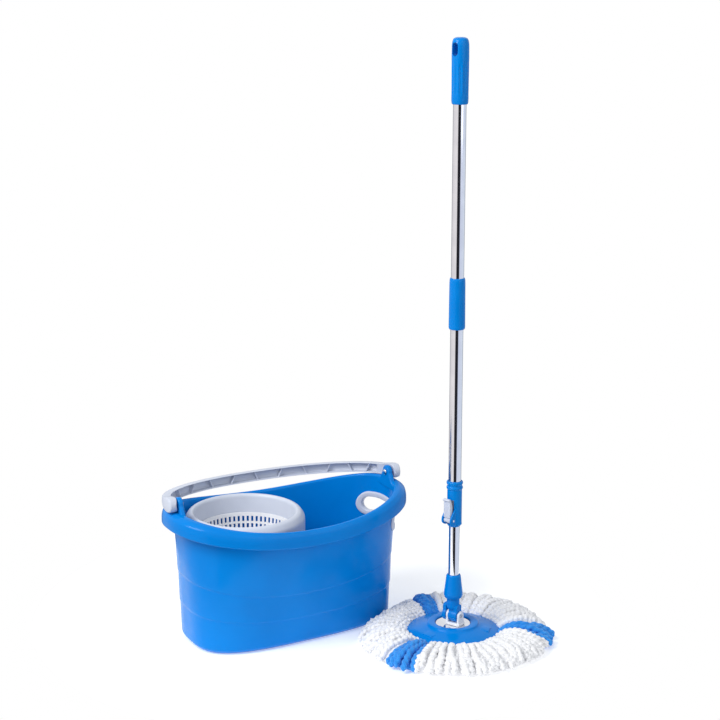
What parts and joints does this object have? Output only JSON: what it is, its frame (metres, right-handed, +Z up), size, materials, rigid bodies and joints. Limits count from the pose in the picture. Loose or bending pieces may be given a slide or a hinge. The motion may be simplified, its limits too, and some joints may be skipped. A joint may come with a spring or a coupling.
{
  "type": "spin mop",
  "caption": "Oval bucket with a spinning wringer basket and a folding carrying handle, and a telescopic mop with a twist-drive pole, a tilting round head and cord strands.",
  "frame": {"origin": "middle of the bucket's underside, on the floor", "axes": "+X along the bucket's long axis to its hand hole, +Y to the side where the carrying handle lies folded, +Z up"},
  "size_m": [0.6335, 0.5131, 1.047],
  "materials": {
    "blue_plastic": "smooth moulded blue plastic, soft gloss",
    "grey_plastic": "moulded light bluish grey plastic, satin",
    "white_plastic": "moulded white plastic, satin",
    "polished_steel": "polished, mirror-like steel",
    "white_yarn": "fuzzy white chenille cord",
    "blue_yarn": "fuzzy cornflower-blue chenille cord"
  },
  "bodies": {
    "bucket": {"bucket_shell": "blue_plastic", "hand_hole_grommet": "grey_plastic", "bail_pin_left": "polished_steel", "bail_pin_right": "polished_steel", "spindle_post": "blue_plastic", "spindle_pin": "polished_steel"},
    "bail": {"bail_handle": "grey_plastic"},
    "basket": {"splash_collar": "grey_plastic", "basket_bowl": "white_plastic", "basket_hub": "white_plastic", "hub_bush": "grey_plastic"},
    "mop_head": {"mop_plate": "blue_plastic", "dish_trim": "polished_steel", "swivel_foot": "white_plastic", "foot_screw": "polished_steel", "refill_ring": "white_plastic", "tilt_pin": "white_plastic", "white_strands_1": "white_yarn", "white_strands_2": "white_yarn", "white_strands_3": "white_yarn", "blue_strands_1": "blue_yarn", "blue_strands_2": "blue_yarn", "blue_strands_3": "blue_yarn"},
    "lower_pole": {"tilt_fork": "blue_plastic", "lower_sleeve": "blue_plastic", "inner_tube": "polished_steel", "drive_nut": "white_plastic"},
    "glide_bush": {"glide_bush": "white_plastic"},
    "handle": {"latch_housing": "blue_plastic", "latch_pin": "polished_steel", "outer_tube_lower": "polished_steel", "outer_tube_upper": "polished_steel", "middle_sleeve": "blue_plastic", "coupling_insert": "white_plastic", "rod_anchor": "grey_plastic", "drive_rod": "polished_steel", "grip": "blue_plastic"},
    "latch_lever": {"latch_lever": "grey_plastic"}
  },
  "joints": [
    {"name": "bail_swing", "type": "hinge", "parent": "bucket", "child": "bail", "pos_m": [0, 0, 0.259], "axis": [1, 0, 0], "range_deg": [0, 194]},
    {"name": "basket_spin", "type": "hinge", "parent": "bucket", "child": "basket", "pos_m": [-0.08, 0, 0.12], "axis": [0, 0, 1], "continuous": true},
    {"name": "mop_lift", "type": "slide", "parent": "bucket", "child": "mop_head", "axis": [0.2659, -0.5083, 0.8191], "range_m": [0, 0.35]},
    {"name": "head_tilt", "type": "hinge", "parent": "mop_head", "child": "lower_pole", "pos_m": [0.232, -0.192, 0.046], "axis": [-0.454, 0.891, 0], "range_deg": [-80, 80]},
    {"name": "pole_spin", "type": "hinge", "parent": "lower_pole", "child": "glide_bush", "pos_m": [0.232, -0.192, 0.46], "axis": [0, 0, 1], "range_deg": [-275, 725]},
    {"name": "pole_push", "type": "slide", "parent": "glide_bush", "child": "handle", "axis": [0, 0, 1], "range_m": [-0.075, 0.2]},
    {"name": "latch_open", "type": "hinge", "parent": "handle", "child": "latch_lever", "pos_m": [0.2188, -0.19603, 0.2245], "axis": [0.2924, -0.9563, 0], "range_deg": [0, 85]}
  ],
  "couplings": [
    {"joint": "pole_spin", "follows": "pole_push", "rad_per_m": 62.832}
  ]
}
